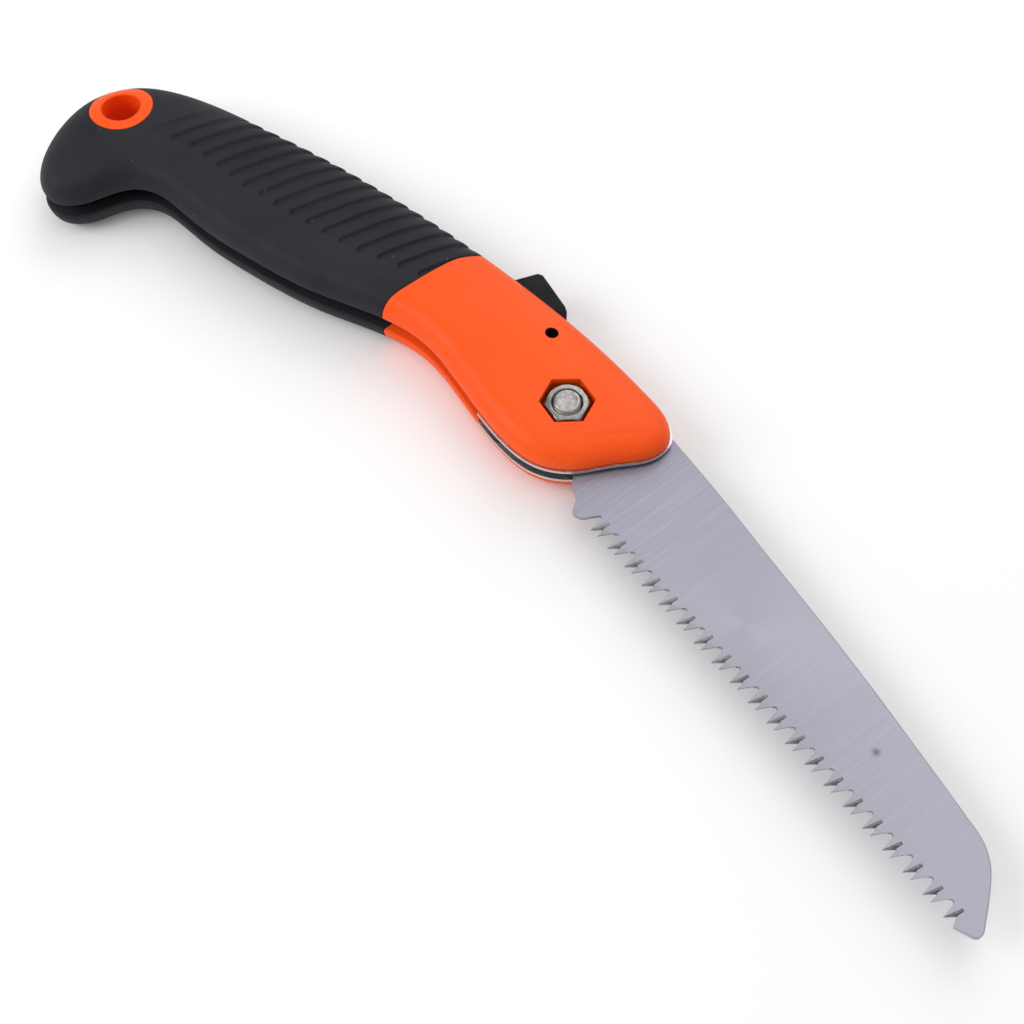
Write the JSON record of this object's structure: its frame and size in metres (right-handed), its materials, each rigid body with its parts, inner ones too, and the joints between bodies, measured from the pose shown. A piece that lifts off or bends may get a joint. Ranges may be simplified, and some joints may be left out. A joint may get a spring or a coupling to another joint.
{
  "type": "folding pruning saw",
  "caption": "Folding pruning saw with a straight toothed steel blade, orange front covers, black ribbed grip, thumb lock button and a hanging hole in the butt.",
  "frame": {"origin": "under the middle of the whole open saw, on the surface that its right side lies on", "axes": "+X along the handle from the butt towards the blade, +Y towards the spine of the handle, +Z across the thickness towards the left side, square to the blade"},
  "size_m": [0.3416, 0.1358, 0.0224],
  "materials": {
    "shell": "satin moulded orange plastic with a fine grain",
    "grip": "matt black soft-touch overmoulding, ribbed",
    "core": "black moulded nylon",
    "liner": "stamped steel plate, bright edges",
    "blade": "cross-ground blade steel",
    "hardware": "zinc-plated steel",
    "bush": "turned brass",
    "washer": "natural nylon",
    "lock_steel": "hardened steel",
    "spring": "spring wire",
    "button": "black moulded plastic"
  },
  "bodies": {
    "handle": {"left_shell": "shell", "right_shell": "shell", "left_core": "core", "right_core": "core", "left_grip": "grip", "right_grip": "grip", "hang_eyelet": "shell", "back_spacer": "core", "left_liner": "liner", "right_liner": "liner", "pivot_bolt": "hardware", "pivot_nut": "hardware", "pivot_bush": "bush", "left_washer": "washer", "right_washer": "washer", "lock_pin": "lock_steel", "lock_spring": "spring", "open_stop_pin": "lock_steel", "closed_stop_pin": "lock_steel", "handle_screws": "hardware"},
    "blade": {"blade": "blade"},
    "lock": {"lock_lever": "lock_steel", "lock_button": "button"}
  },
  "joints": [
    {"name": "blade_fold", "type": "hinge", "parent": "handle", "child": "blade", "pos_m": [0.01428, 0.01922, 0.0112], "axis": [0, 0, -1], "range_deg": [0, 156]},
    {"name": "lock_press", "type": "hinge", "parent": "handle", "child": "lock", "pos_m": [0.00008, 0.03762, 0.0112], "axis": [0, 0, 1], "range_deg": [0, 7], "stiffness_Nm_per_rad": 0.6, "springref_deg": -2.86, "deforming": ["lock_spring"]}
  ]
}
